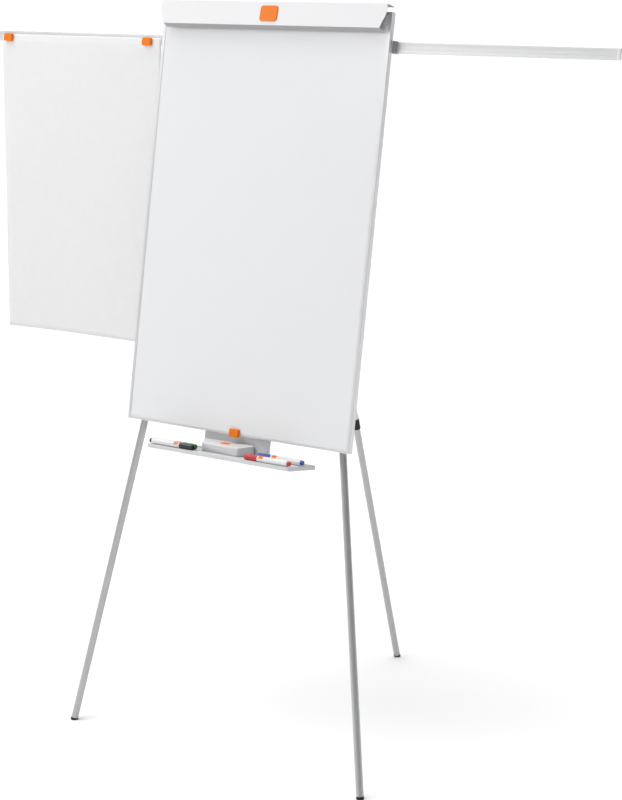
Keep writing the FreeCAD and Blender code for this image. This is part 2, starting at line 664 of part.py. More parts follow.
def make_markers():
    near_y = -59.0
    second_y = -43.6
    far_y = -2.0
    places = (("black", -213.5, near_y, 1), ("green", -216.0, second_y, 1),
              ("red", 214.5, near_y, -1), ("blue", 214.5, far_y, -1))
    for colour, tail_x, y, direction in places:
        barrel, cap = marker(tail_x, y, direction)
        save("%s_marker" % colour, barrel)
        save("%s_cap" % colour, cap)


def make_magnets_and_sheet():
    magnet = rounded_plate(MAGNET[0], MAGNET[1], MAGNET[2], 4.0, 1.5)
    arm_face = FRONT_CHAMBER_Y + ARM_PLAY
    sheet_back = arm_face - 0.3
    places = (("left_magnet", -877.0, sheet_back - SHEET_T - 0.2, 965.5),
              ("right_magnet", -399.0, sheet_back - SHEET_T - 0.2, 964.5),
              ("board_magnet", 2.0, -0.2, 6.0))
    for name, x, y, z in places:
        placed = magnet.copy()
        placed.translate(V(x, y, z))
        save(name, lean(placed))
    bend_z = ARM_Z0 - 0.7
    drop = SHEET_H - (SHEET_TOP_Z - bend_z)
    path = [(sheet_back, SHEET_TOP_Z), (sheet_back, bend_z),
            (sheet_back + drop * math.sin(TILT), bend_z - drop * math.cos(TILT))]
    outline = folded_strip(path, SHEET_T)
    save("paper_sheet", lean(side_profile(outline, SHEET_LEFT_X, SHEET_RIGHT_X)))


os.makedirs("parts", exist_ok=True)
make_board()
make_arm_rail()
make_arm_guides()
make_arms()
make_clamp_bar()
make_clamp_fittings()
make_pad_hooks()
make_hub_channel()
make_rear_bracket()
make_back_screws()
make_front_legs()
make_rear_leg()
make_tray()
make_eraser()
make_markers()
make_magnets_and_sheet()
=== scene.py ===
import bpy
import bmesh
import json
import math
from mathutils import Matrix, Vector, noise


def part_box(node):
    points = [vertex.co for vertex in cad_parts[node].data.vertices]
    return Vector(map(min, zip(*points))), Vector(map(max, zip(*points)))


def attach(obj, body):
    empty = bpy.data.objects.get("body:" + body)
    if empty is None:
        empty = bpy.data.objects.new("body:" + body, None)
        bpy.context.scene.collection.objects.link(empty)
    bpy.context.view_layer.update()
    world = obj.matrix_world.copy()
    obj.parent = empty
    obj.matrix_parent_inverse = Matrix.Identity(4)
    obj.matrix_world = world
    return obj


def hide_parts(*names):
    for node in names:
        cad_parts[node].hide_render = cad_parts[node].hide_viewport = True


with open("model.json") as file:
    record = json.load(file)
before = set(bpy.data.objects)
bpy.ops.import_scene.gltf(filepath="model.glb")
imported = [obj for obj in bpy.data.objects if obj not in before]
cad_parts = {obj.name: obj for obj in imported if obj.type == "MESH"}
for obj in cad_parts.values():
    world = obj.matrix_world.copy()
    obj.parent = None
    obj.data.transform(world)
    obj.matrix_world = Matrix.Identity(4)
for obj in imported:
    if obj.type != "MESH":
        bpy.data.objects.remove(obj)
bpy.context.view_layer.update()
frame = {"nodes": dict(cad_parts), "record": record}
nodes = frame["nodes"]
scene = bpy.context.scene

# ---------------------------------------------------------------------------------------------
# The leaning board
# A steel-faced panel: white enamelled sheet, honeycomb card, zinc sheet, glued together in a press.
# Everything on it is square to the panel, so lengths are given in the panel's own directions.
# ---------------------------------------------------------------------------------------------
joints = {joint["name"]: joint for joint in frame["record"]["behaviour"]["joints"]}
across = Vector((1, 0, 0))
board_up = Vector(joints["black_marker_lift"]["axis"]).normalized()
board_back = -Vector(joints["board_magnet_pull"]["axis"]).normalized()
CLAMP_HINGE_BACK = 0.0075
CLAMP_HINGE_UP = 1.0575
board_foot = (Vector(joints["clamp_hinge"]["pos_m"]) - board_up * CLAMP_HINGE_UP
              - board_back * CLAMP_HINGE_BACK)
to_room = Matrix.Translation(board_foot) @ Matrix((across, board_back, board_up)).transposed().to_4x4()


def on_board(x, back, up):
    """A point given across, behind and up the board, in metres from the foot of its front face."""
    return to_room @ Vector((x, back, up))


def new_material(name, colour, roughness, metallic=0.0):
    material = bpy.data.materials.new(name)
    material.use_nodes = True
    shader = material.node_tree.nodes["Principled BSDF"]
    shader.inputs["Base Color"].default_value = (*colour, 1)
    shader.inputs["Roughness"].default_value = roughness
    shader.inputs["Metallic"].default_value = metallic
    return material, material.node_tree, shader


def new_group(name, inputs, outputs):
    """An empty shader group with named sockets; returns it with its input and output nodes."""
    group = bpy.data.node_groups.new(name, "ShaderNodeTree")
    for socket, kind, value in inputs:
        item = group.interface.new_socket(socket, in_out="INPUT", socket_type=kind)
        if value is not None:
            item.default_value = value
    for socket, kind in outputs:
        group.interface.new_socket(socket, in_out="OUTPUT", socket_type=kind)
    return group, group.nodes.new("NodeGroupInput"), group.nodes.new("NodeGroupOutput")


def add(tree, kind, links=(), **settings):
    """A node with its settings made and its inputs joined or filled in."""
    node = tree.nodes.new(kind)
    for key, value in settings.items():
        setattr(node, key, value)
    for socket, source in links:
        if isinstance(source, bpy.types.NodeSocket):
            tree.links.new(source, node.inputs[socket])
        else:
            node.inputs[socket].default_value = source
    return node


COLOUR = "NodeSocketColor"
NUMBER = "NodeSocketFloat"
POINT = "NodeSocketVector"

# Stove enamel, powder coat and moulded skins all have a slight orange peel and a trace of handling.
surface_skin, skin_in, skin_out = new_group(
    "surface skin",
    [("Point", POINT, None), ("Colour", COLOUR, (0.8, 0.8, 0.8, 1)), ("Roughness", NUMBER, 0.4),
     ("Peel size", NUMBER, 0.002), ("Peel height", NUMBER, 0.3), ("Smudges", NUMBER, 0.06),
     ("Tone change", NUMBER, 0.02)],
    [("Colour", COLOUR), ("Roughness", NUMBER), ("Height", NUMBER)])
peel_scale = add(surface_skin, "ShaderNodeMath", [(0, 1.0), (1, skin_in.outputs["Peel size"])],
                 operation="DIVIDE")
peel = add(surface_skin, "ShaderNodeTexNoise",
           [("Vector", skin_in.outputs["Point"]), ("Scale", peel_scale.outputs[0]), ("Detail", 2.0)])
peel_height = add(surface_skin, "ShaderNodeMath",
                  [(0, peel.outputs["Fac"]), (1, skin_in.outputs["Peel height"])], operation="MULTIPLY")
smear = add(surface_skin, "ShaderNodeTexNoise",
            [("Vector", skin_in.outputs["Point"]), ("Scale", 9.0), ("Detail", 5.0), ("Roughness", 0.6)])
smear_centred = add(surface_skin, "ShaderNodeMath", [(0, smear.outputs["Fac"]), (1, 0.5)],
                    operation="SUBTRACT")
rougher = add(surface_skin, "ShaderNodeMath",
              [(0, smear_centred.outputs[0]), (1, skin_in.outputs["Smudges"]),
               (2, skin_in.outputs["Roughness"])], operation="MULTIPLY_ADD")
tone = add(surface_skin, "ShaderNodeMath",
           [(0, smear_centred.outputs[0]), (1, skin_in.outputs["Tone change"]), (2, 1.0)],
           operation="MULTIPLY_ADD")
toned = add(surface_skin, "ShaderNodeVectorMath",
            [(0, skin_in.outputs["Colour"]), (1, tone.outputs[0])], operation="MULTIPLY")
surface_skin.links.new(toned.outputs[0], skin_out.inputs["Colour"])
surface_skin.links.new(rougher.outputs[0], skin_out.inputs["Roughness"])
surface_skin.links.new(peel_height.outputs[0], skin_out.inputs["Height"])


def skinned_material(name, colour, roughness, peel_size, peel_height, smudges, tone_change, bump=0.1):
    """Painted or moulded surface: the skin group with this piece's values, feeding the shader."""
    material, tree, shader = new_material(name, colour, roughness)
    place = add(tree, "ShaderNodeTexCoord")
    skin = add(tree, "ShaderNodeGroup", node_tree=surface_skin)
    tree.links.new(place.outputs["Object"], skin.inputs["Point"])
    skin.inputs["Colour"].default_value = (*colour, 1)
    skin.inputs["Roughness"].default_value = roughness
    skin.inputs["Peel size"].default_value = peel_size
    skin.inputs["Peel height"].default_value = peel_height
    skin.inputs["Smudges"].default_value = smudges
    skin.inputs["Tone change"].default_value = tone_change
    relief = add(tree, "ShaderNodeBump", [("Height", skin.outputs["Height"]), ("Strength", bump),
                                          ("Distance", 0.0002)])
    tree.links.new(skin.outputs["Colour"], shader.inputs["Base Color"])
    tree.links.new(skin.outputs["Roughness"], shader.inputs["Roughness"])
    tree.links.new(relief.outputs["Normal"], shader.inputs["Normal"])
    return material, tree, shader


def eased_copy(name, body, material, edge=0.0004, sharp=25.0):
    """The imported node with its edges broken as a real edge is, shaded smooth on its round faces."""
    work = bmesh.new()
    work.from_mesh(nodes[name].data)
    bmesh.ops.remove_doubles(work, verts=work.verts, dist=2e-6)
    bmesh.ops.dissolve_degenerate(work, edges=work.edges, dist=1e-6)
    bmesh.ops.dissolve_limit(work, angle_limit=math.radians(1.0), verts=work.verts, edges=work.edges)
    if edge > 0:
        corners = [e for e in work.edges if e.is_manifold and e.calc_face_angle() > math.radians(sharp)]
        bmesh.ops.bevel(work, geom=corners, offset=edge, segments=2, profile=0.5, affect="EDGES",
                        clamp_overlap=True)
    bmesh.ops.triangulate(work, faces=[f for f in work.faces if len(f.verts) > 4])
    mesh = bpy.data.meshes.new(name + "_finished")
    work.to_mesh(mesh)
    work.free()
    mesh.shade_smooth()
    mesh.set_sharp_from_angle(angle=math.radians(32))
    piece = bpy.data.objects.new(name + "_finished", mesh)
    scene.collection.objects.link(piece)
    mesh.materials.append(material)
    smoother = piece.modifiers.new("even shading", "WEIGHTED_NORMAL")
    smoother.keep_sharp = True
    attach(piece, body)
    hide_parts(name)
    return piece


enamel, _, enamel_shader = skinned_material(
    "white enamel", (0.8, 0.805, 0.815), 0.2, 0.006, 0.35, 0.1, 0.012, bump=0.05)
enamel_shader.inputs["Coat Weight"].default_value = 0.25
enamel_shader.inputs["Coat Roughness"].default_value = 0.08

card = skinned_material("honeycomb card", (0.5, 0.36, 0.22), 0.9, 0.001, 1.0, 0.05, 0.3)[0]

zinc, zinc_tree, zinc_shader = new_material("zinc-coated sheet", (0.62, 0.64, 0.66), 0.42, 0.85)
zinc_place = add(zinc_tree, "ShaderNodeTexCoord")
spangle = add(zinc_tree, "ShaderNodeTexVoronoi",
              [("Vector", zinc_place.outputs["Object"]), ("Scale", 90.0)])
spangle_grey = add(zinc_tree, "ShaderNodeMapRange",
                   [("Value", spangle.outputs["Color"]), ("To Min", 0.5), ("To Max", 0.68)])
spangle_rough = add(zinc_tree, "ShaderNodeMapRange",
                    [("Value", spangle.outputs["Color"]), ("To Min", 0.36), ("To Max", 0.52)])
spangle_colour = add(zinc_tree, "ShaderNodeCombineColor",
                     [("Red", spangle_grey.outputs[0]), ("Green", spangle_grey.outputs[0]),
                      ("Blue", spangle_grey.outputs[0])])
zinc_tree.links.new(spangle_colour.outputs[0], zinc_shader.inputs["Base Color"])
zinc_tree.links.new(spangle_rough.outputs[0], zinc_shader.inputs["Roughness"])

eased_copy("writing_sheet", "board", enamel, 0.0)
eased_copy("board_core", "board", card, 0.0)
eased_copy("back_sheet", "board", zinc, 0.0)

# ---------------------------------------------------------------------------------------------
# Board frame
# Four lengths of slim aluminium channel, mitred at the corners, natural anodised. The die leaves
# fine straight lines along each length, and the edges are rounded so that they don't cut.
# ---------------------------------------------------------------------------------------------
# Extruded and drawn metal: fine lines run one way, and the finish dulls unevenly between them.
drawn_metal, drawn_in, drawn_out = new_group(
    "drawn metal",
    [("Point", POINT, None), ("Colour", COLOUR, (0.7, 0.7, 0.72, 1)), ("Roughness", NUMBER, 0.3),
     ("Line width", NUMBER, 0.0006), ("Line depth", NUMBER, 0.5), ("Tone change", NUMBER, 0.08)],
    [("Colour", COLOUR), ("Roughness", NUMBER), ("Height", NUMBER)])
fine_scale = add(drawn_metal, "ShaderNodeMath", [(0, 1.0), (1, drawn_in.outputs["Line width"])],
                 operation="DIVIDE")
# The point's Z runs along the metal, so it is squeezed hard there to stretch the noise into lines.
squeezed = add(drawn_metal, "ShaderNodeVectorMath",
               [(0, drawn_in.outputs["Point"]), (1, (1.0, 1.0, 0.004))], operation="MULTIPLY")
lines = add(drawn_metal, "ShaderNodeTexNoise",
            [("Vector", squeezed.outputs[0]), ("Scale", fine_scale.outputs[0]), ("Detail", 2.0)])
line_height = add(drawn_metal, "ShaderNodeMath",
                  [(0, lines.outputs["Fac"]), (1, drawn_in.outputs["Line depth"])], operation="MULTIPLY")
clouds = add(drawn_metal, "ShaderNodeTexNoise",
             [("Vector", drawn_in.outputs["Point"]), ("Scale", 14.0), ("Detail", 4.0)])
mixed = add(drawn_metal, "ShaderNodeMath", [(0, clouds.outputs["Fac"]), (1, lines.outputs["Fac"])],
            operation="ADD")
centred = add(drawn_metal, "ShaderNodeMath", [(0, mixed.outputs[0]), (1, 1.0)], operation="SUBTRACT")
metal_tone = add(drawn_metal, "ShaderNodeMath",
                 [(0, centred.outputs[0]), (1, drawn_in.outputs["Tone change"]), (2, 1.0)],
                 operation="MULTIPLY_ADD")
metal_toned = add(drawn_metal, "ShaderNodeVectorMath",
                  [(0, drawn_in.outputs["Colour"]), (1, metal_tone.outputs[0])], operation="MULTIPLY")
metal_rough = add(drawn_metal, "ShaderNodeMath",
                  [(0, centred.outputs[0]), (1, 0.08), (2, drawn_in.outputs["Roughness"])],
                  operation="MULTIPLY_ADD")
drawn_metal.links.new(metal_toned.outputs[0], drawn_out.inputs["Colour"])
drawn_metal.links.new(metal_rough.outputs[0], drawn_out.inputs["Roughness"])
drawn_metal.links.new(line_height.outputs[0], drawn_out.inputs["Height"])


def drawn_material(name, colour, roughness, metallic, along, line_width=0.0006, depth=0.5, tone=0.08):
    """Drawn or extruded metal whose lines run in the direction along."""
    material, tree, shader = new_material(name, colour, roughness, metallic)
    place = add(tree, "ShaderNodeTexCoord")
    turn = Vector(along).normalized().rotation_difference(Vector((0, 0, 1))).to_euler()
    turned = add(tree, "ShaderNodeMapping", [("Vector", place.outputs["Object"]), ("Rotation", turn)])
    metal = add(tree, "ShaderNodeGroup", node_tree=drawn_metal)
    tree.links.new(turned.outputs[0], metal.inputs["Point"])
    metal.inputs["Colour"].default_value = (*colour, 1)
    metal.inputs["Roughness"].default_value = roughness
    metal.inputs["Line width"].default_value = line_width
    metal.inputs["Line depth"].default_value = depth
    metal.inputs["Tone change"].default_value = tone
    relief = add(tree, "ShaderNodeBump", [("Height", metal.outputs["Height"]), ("Strength", 0.08),
                                          ("Distance", 0.0001)])
    tree.links.new(metal.outputs["Colour"], shader.inputs["Base Color"])
    tree.links.new(metal.outputs["Roughness"], shader.inputs["Roughness"])
    tree.links.new(relief.outputs["Normal"], shader.inputs["Normal"])
    return material


ANODISED = (0.74, 0.745, 0.755)
frame_upright = drawn_material("anodised upright", ANODISED, 0.38, 0.55, board_up)
frame_across = drawn_material("anodised crosspiece", ANODISED, 0.38, 0.55, across)
eased_copy("frame_left", "board", frame_upright, 0.0007)
eased_copy("frame_right", "board", frame_upright, 0.0007)
eased_copy("frame_top", "board", frame_across, 0.0007)
eased_copy("frame_bottom", "board", frame_across, 0.0007)

# ---------------------------------------------------------------------------------------------
# Rivets
# Blind rivets with domed zinc-plated heads hold the frame's back lip, the rail, the brackets and
# the tray. Each has the small pit of its broken mandrel, and they are all set alike.
# ---------------------------------------------------------------------------------------------
RIVET_R = 0.0032
RIVET_H = 0.0015


def centres_of(name):
    """Middle of each separate solid of a node."""
    work = bmesh.new()
    work.from_mesh(nodes[name].data)
    bmesh.ops.remove_doubles(work, verts=work.verts, dist=2e-6)
    waiting = set(work.verts)
    middles = []
    while waiting:
        front = [waiting.pop()]
        solid = []
        while front:
            vert = front.pop()
            solid.append(vert.co.copy())
            for edge in vert.link_edges:
                other = edge.other_vert(vert)
                if other in waiting:
                    waiting.remove(other)
                    front.append(other)
        low = Vector([min(p[i] for p in solid) for i in range(3)])
        high = Vector([max(p[i] for p in solid) for i in range(3)])
        middles.append((low + high) / 2)
    work.free()
    return middles


def geometry_tree(name, inputs):
    """An empty geometry tree with named inputs; returns it with its input and output nodes."""
    tree = bpy.data.node_groups.new(name, "GeometryNodeTree")
    tree.interface.new_socket("Geometry", in_out="INPUT", socket_type="NodeSocketGeometry")
    for socket, kind, value in inputs:
        item = tree.interface.new_socket(socket, in_out="INPUT", socket_type=kind)
        if value is not None:
            item.default_value = value
    tree.interface.new_socket("Geometry", in_out="OUTPUT", socket_type="NodeSocketGeometry")
    return tree, tree.nodes.new("NodeGroupInput"), tree.nodes.new("NodeGroupOutput")


def grown(tree, name, points, values, directions=None):
    """The plain mesh that a geometry tree makes on some points, with its inputs set by identifier."""
    seed = bpy.data.meshes.new(name + "_points")
    seed.from_pydata([tuple(p) for p in points], [], [])
    if directions is not None:
        facing = seed.attributes.new("facing", "FLOAT_VECTOR", "POINT")
        for i, direction in enumerate(directions):
            facing.data[i].vector = direction
    holder = bpy.data.objects.new(name + "_seed", seed)
    scene.collection.objects.link(holder)
    modifier = holder.modifiers.new("make", "NODES")
    modifier.node_group = tree
    sockets = {item.name: item.identifier for item in tree.interface.items_tree
               if item.item_type == "SOCKET" and item.in_out == "INPUT"}
    for socket, value in values.items():
        modifier[sockets[socket]] = value
    bpy.context.view_layer.update()
    evaluated = holder.evaluated_get(bpy.context.evaluated_depsgraph_get())
    mesh = bpy.data.meshes.new_from_object(evaluated)
    mesh.name = name
    holder.modifiers.remove(modifier)
    bpy.data.objects.remove(holder)
    mesh.shade_smooth()
    mesh.set_sharp_from_angle(angle=math.radians(40))
    piece = bpy.data.objects.new(name, mesh)
    scene.collection.objects.link(piece)
    return piece


plated = drawn_material("zinc-plated steel", (0.6, 0.6, 0.6), 0.34, 0.95, across, 0.0004, 0.3, 0.12)

rivet_tree, rivet_in, rivet_out = geometry_tree(
    "domed rivets", [("Radius", NUMBER, RIVET_R), ("Height", NUMBER, RIVET_H), ("Pit", NUMBER, 0.0008),
                     ("Material", "NodeSocketMaterial", None)])
dome = add(rivet_tree, "GeometryNodeMeshUVSphere", [("Segments", 24), ("Rings", 12), ("Radius", 1.0)])
dome_place = add(rivet_tree, "GeometryNodeInputPosition")
dome_axes = add(rivet_tree, "ShaderNodeSeparateXYZ", [(0, dome_place.outputs[0])])
near_pole = add(rivet_tree, "FunctionNodeCompare", [(0, dome_axes.outputs["Z"]), (1, 0.97)],
                data_type="FLOAT", operation="GREATER_THAN")
pitted = add(rivet_tree, "GeometryNodeSetPosition",
             [("Geometry", dome.outputs["Mesh"]), ("Selection", near_pole.outputs[0]),
              ("Offset", (0.0, 0.0, -0.35))])
dome_size = add(rivet_tree, "ShaderNodeCombineXYZ",
                [("X", rivet_in.outputs["Radius"]), ("Y", rivet_in.outputs["Radius"]),
                 ("Z", rivet_in.outputs["Height"])])
dome_sized = add(rivet_tree, "GeometryNodeTransform",
                 [("Geometry", pitted.outputs[0]), ("Scale", dome_size.outputs[0])])
facing_read = add(rivet_tree, "GeometryNodeInputNamedAttribute", [("Name", "facing")],
                  data_type="FLOAT_VECTOR")
facing_turn = add(rivet_tree, "FunctionNodeAlignRotationToVector",
                  [("Vector", facing_read.outputs[0])], axis="Z")
rivets_set = add(rivet_tree, "GeometryNodeInstanceOnPoints",
                 [("Points", rivet_in.outputs["Geometry"]), ("Instance", dome_sized.outputs[0]),
                  ("Rotation", facing_turn.outputs[0])])
rivets_real = add(rivet_tree, "GeometryNodeRealizeInstances", [("Geometry", rivets_set.outputs[0])])
rivets_finished = add(rivet_tree, "GeometryNodeSetMaterial",
                      [("Geometry", rivets_real.outputs[0]), ("Material", rivet_in.outputs["Material"])])
rivet_tree.links.new(rivets_finished.outputs[0], rivet_out.inputs["Geometry"])


def set_rivets(node, facing_of):
    """Domed heads where a node's rivets are, standing off the sheet that each one holds."""
    points = []
    directions = []
    for middle in centres_of(node):
        direction = facing_of(middle)
        points.append(middle)
        directions.append(direction)
    heads = grown(rivet_tree, node + "_heads", points,
                  {"Radius": RIVET_R, "Height": RIVET_H, "Material": plated}, directions)
    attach(heads, "board")
    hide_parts(node)


TRAY_TOP = -0.0474
tray_plane = on_board(0.0, 0.0, TRAY_TOP)


def tray_rivet_facing(middle):
    low = (middle - tray_plane).dot(board_up) < 0.02
    return board_up if low else board_back


set_rivets("frame_rivets", lambda middle: board_back)
set_rivets("back_screws", lambda middle: board_back)
set_rivets("tray_screws", tray_rivet_facing)

# ---------------------------------------------------------------------------------------------
# Pad clamp
# A bar of 1.5 mm steel folded along three lines and powder-coated white, with its lower corners
# sheared off. Its downward faces, the lip's underside among them, are painted grey as shade, its
# inside facing the board is painted dark as shade, and the badge is a plain moulded plate.
# ---------------------------------------------------------------------------------------------
white_coat = skinned_material(
    "white powder coat", (0.75, 0.75, 0.76), 0.42, 0.0012, 0.8, 0.06, 0.012)[0]
clamp_visual = eased_copy("clamp_bar", "clamp", white_coat, 0.0005)
# The clamp's inside, facing the board, is painted near-black as shade under the folded bar.
clamp_inside_shade = skinned_material(
    "clamp inside painted shade", (0.06, 0.06, 0.062), 0.7, 0.0007, 0.8, 0.1, 0.1)[0]
# The clamp's downward faces, the lip's underside among them, are painted grey as shade.
clamp_underside_shade = skinned_material(
    "clamp underside painted shade", (0.36, 0.36, 0.365), 0.6, 0.0007, 0.8, 0.1, 0.06)[0]
clamp_visual.data.materials.append(clamp_inside_shade)
clamp_visual.data.materials.append(clamp_underside_shade)
inside_limit = on_board(0, 0.0095, CLAMP_HINGE_UP).dot(board_back)
for face in clamp_visual.data.polygons:
    # Faces towards the board inside the fold take the dark painted shade.
    if face.normal.dot(board_back) > 0.4 and face.center.dot(board_back) < inside_limit:
        face.material_index = 1
    # Downward faces take the grey painted shade.
    elif face.normal.dot(board_up) < -0.6:
        face.material_index = 2

orange, _, orange_shader = skinned_material(
    "orange moulding", (0.82, 0.19, 0.006), 0.4, 0.0009, 0.4, 0.08, 0.05)
orange_shader.inputs["Specular IOR Level"].default_value = 0.25
eased_copy("clamp_badge", "clamp", orange, 0.0)

eased_copy("clamp_rod", "board", plated, 0.0003)
grey_coat = skinned_material(
    "light grey powder coat", (0.6, 0.605, 0.615), 0.4, 0.0012, 0.8, 0.06, 0.02)[0]
eased_copy("hinge_blocks", "board", grey_coat, 0.0003)

# The two closing springs are wound from hard wire round the hinge rod, with close turns.
spring_tree, spring_in, spring_out = geometry_tree(
    "wound springs", [("Wire", NUMBER, 0.0006), ("Coil radius", NUMBER, 0.0033), ("Turns", NUMBER, 7.5),
                      ("Length", NUMBER, 0.011), ("Material", "NodeSocketMaterial", None)])
coil = add(spring_tree, "GeometryNodeCurveSpiral",
           [("Resolution", 28), ("Rotations", spring_in.outputs["Turns"]),
            ("Start Radius", spring_in.outputs["Coil radius"]),
            ("End Radius", spring_in.outputs["Coil radius"]), ("Height", spring_in.outputs["Length"])])
coil_middle = add(spring_tree, "ShaderNodeMath", [(0, spring_in.outputs["Length"]), (1, -0.5)],
                  operation="MULTIPLY")
coil_shift = add(spring_tree, "ShaderNodeCombineXYZ", [("Z", coil_middle.outputs[0])])
coil_centred = add(spring_tree, "GeometryNodeTransform",
                   [("Geometry", coil.outputs[0]), ("Translation", coil_shift.outputs[0])])
wire_round = add(spring_tree, "GeometryNodeCurvePrimitiveCircle",
                 [("Resolution", 10), ("Radius", spring_in.outputs["Wire"])])
wire = add(spring_tree, "GeometryNodeCurveToMesh",
           [("Curve", coil_centred.outputs[0]), ("Profile Curve", wire_round.outputs[0]),
            ("Fill Caps", True)])
springs_set = add(spring_tree, "GeometryNodeInstanceOnPoints",
                  [("Points", spring_in.outputs["Geometry"]), ("Instance", wire.outputs[0]),
                   ("Rotation", (0.0, math.pi / 2, 0.0))])
springs_real = add(spring_tree, "GeometryNodeRealizeInstances", [("Geometry", springs_set.outputs[0])])
springs_finished = add(spring_tree, "GeometryNodeSetMaterial",
                       [("Geometry", springs_real.outputs[0]), ("Material", spring_in.outputs["Material"])])
spring_tree.links.new(springs_finished.outputs[0], spring_out.inputs["Geometry"])
springs = grown(spring_tree, "closing_springs", centres_of("clamp_springs"), {"Material": plated})
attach(springs, "board")
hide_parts("clamp_springs")

# ---------------------------------------------------------------------------------------------
# Pad hooks
# Two plated steel saddles that straddle the top of the frame and slide along it, each with a peg
# for the pad's punched hole and a fluted black knob that nips it where it is wanted.
# ---------------------------------------------------------------------------------------------
black, _, black_shader = skinned_material(
    "black moulding", (0.01, 0.01, 0.0105), 0.42, 0.0006, 0.8, 0.12, 0.2)
black_shader.inputs["Specular IOR Level"].default_value = 0.3
for side in ("left", "right"):
    eased_copy(side + "_pad_hook", side + "_hook", plated, 0.0003)
    eased_copy(side + "_hook_knob", side + "_hook", black, 0.0004)

# ---------------------------------------------------------------------------------------------
# Side arms and their rail
# Two flat hollow aluminium bars run in the two chambers of one extruded rail across the back.
# Grey moulded mouths close the rail's ends, and light moulded caps close the arms.
# ---------------------------------------------------------------------------------------------
arm_metal = drawn_material("anodised arm", (0.68, 0.685, 0.69), 0.38, 0.35, across, 0.0005, 0.5, 0.05)
rail_metal = drawn_material("anodised rail", (0.7, 0.705, 0.715), 0.4, 0.6, across)
light_cap = skinned_material(
    "light grey moulding", (0.74, 0.74, 0.74), 0.45, 0.0007, 0.6, 0.08, 0.04)[0]
mouth_grey = skinned_material(
    "grey moulding", (0.26, 0.26, 0.265), 0.5, 0.0007, 0.7, 0.08, 0.08)[0]
eased_copy("arm_rail", "board", rail_metal, 0.0003)
eased_copy("arm_guides", "board", mouth_grey, 0.0005)
for side in ("left", "right"):
    eased_copy(side + "_arm", side + "_arm", arm_metal, 0.0)
    eased_copy(side + "_arm_cap", side + "_arm", light_cap, 0.0)

# ---------------------------------------------------------------------------------------------
# Loose sheet
# One plain sheet from a flip chart pad, about 548 by 800 mm, held on the left arm by two magnets.
# It hangs plumb below the arm, and its free edges lift a little because paper keeps a curl.
# ---------------------------------------------------------------------------------------------
PAPER_W = 0.547
PAPER_H = 0.8
PAPER_T = 0.00016
paper_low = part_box("paper_sheet")[0]
PAPER_TOP = 0.975
PAPER_BEND = 0.9558
PAPER_DEPTH = 0.0159
plumb = Vector((0, 0, -1))


def paper_point(across_part, down):
    """A point of the sheet: flat on the arm's face, then plumb, with a slight curl and ripple."""
    strip = PAPER_TOP - PAPER_BEND
    x = paper_low.x + 0.0002 + PAPER_W * across_part * 0.9992
    held = min(down, strip)
    place = on_board(x, PAPER_DEPTH, PAPER_TOP - held)
    free = max(down - strip, 0.0)
    part = free / (PAPER_H - strip)
    place += plumb * free
    belly = math.sin(math.pi * across_part)
    curl = 0.0075 * part ** 2 * (1 - belly) - 0.0035 * part * belly
    ripple = 0.0016 * part * math.sin(2 * math.pi * (across_part * 1.4 + 0.15) + 2.1 * part)
    lift = 0.004 * max(0.0, part - 0.86) * math.cos(math.pi * (across_part - 0.2))
    place.y -= curl + ripple * belly - lift * 4
    return place


sheet_work = bmesh.new()
COLUMNS = 46
STRIP_ROWS = 4
HANGING_ROWS = 62
ROWS = STRIP_ROWS + HANGING_ROWS
strip_down = PAPER_TOP - PAPER_BEND
drops = [strip_down * row / STRIP_ROWS for row in range(STRIP_ROWS)]
drops += [strip_down + (PAPER_H - strip_down) * row / HANGING_ROWS for row in range(HANGING_ROWS + 1)]
sheet_uv = sheet_work.loops.layers.uv.new("cut sheet")
grid = []
for down in drops:
    grid.append([sheet_work.verts.new(paper_point(column / COLUMNS, down))
                 for column in range(COLUMNS + 1)])
for row in range(ROWS):
    for column in range(COLUMNS):
        face = sheet_work.faces.new((grid[row][column], grid[row + 1][column],
                                     grid[row + 1][column + 1], grid[row][column + 1]))
        corners = ((column, row), (column, row + 1), (column + 1, row + 1), (column + 1, row))
        for loop, (u, v) in zip(face.loops, corners):
            loop[sheet_uv].uv = (u / COLUMNS, 1 - drops[v] / PAPER_H)
sheet_mesh = bpy.data.meshes.new("loose_sheet")
sheet_work.to_mesh(sheet_mesh)
sheet_work.free()
sheet_mesh.shade_smooth()
loose_sheet = bpy.data.objects.new("loose_sheet", sheet_mesh)
scene.collection.objects.link(loose_sheet)
thickness = loose_sheet.modifiers.new("paper thickness", "SOLIDIFY")
thickness.thickness = PAPER_T
thickness.offset = 0.0

paper, paper_tree, paper_shader = new_material("cartridge paper", (0.79, 0.79, 0.795), 0.78)
paper_place = add(paper_tree, "ShaderNodeTexCoord")
fibres = add(paper_tree, "ShaderNodeTexNoise",
             [("Vector", paper_place.outputs["Object"]), ("Scale", 700.0), ("Detail", 4.0)])
formation = add(paper_tree, "ShaderNodeTexNoise",
                [("Vector", paper_place.outputs["Object"]), ("Scale", 60.0), ("Detail", 3.0)])
paper_tone = add(paper_tree, "ShaderNodeMix",
                 [("Factor", formation.outputs["Fac"]), (6, (0.77, 0.77, 0.775, 1)),
                  (7, (0.81, 0.81, 0.815, 1))], data_type="RGBA")
paper_rough = add(paper_tree, "ShaderNodeMapRange",
                  [("Value", fibres.outputs["Fac"]), ("To Min", 0.7), ("To Max", 0.86)])
paper_relief = add(paper_tree, "ShaderNodeBump",
                   [("Height", fibres.outputs["Fac"]), ("Strength", 0.12), ("Distance", 0.0001)])
paper_tree.links.new(paper_tone.outputs[2], paper_shader.inputs["Base Color"])
paper_tree.links.new(paper_rough.outputs[0], paper_shader.inputs["Roughness"])
paper_tree.links.new(paper_relief.outputs["Normal"], paper_shader.inputs["Normal"])
sheet_mesh.materials.append(paper)
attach(loose_sheet, "paper_sheet")
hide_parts("paper_sheet")

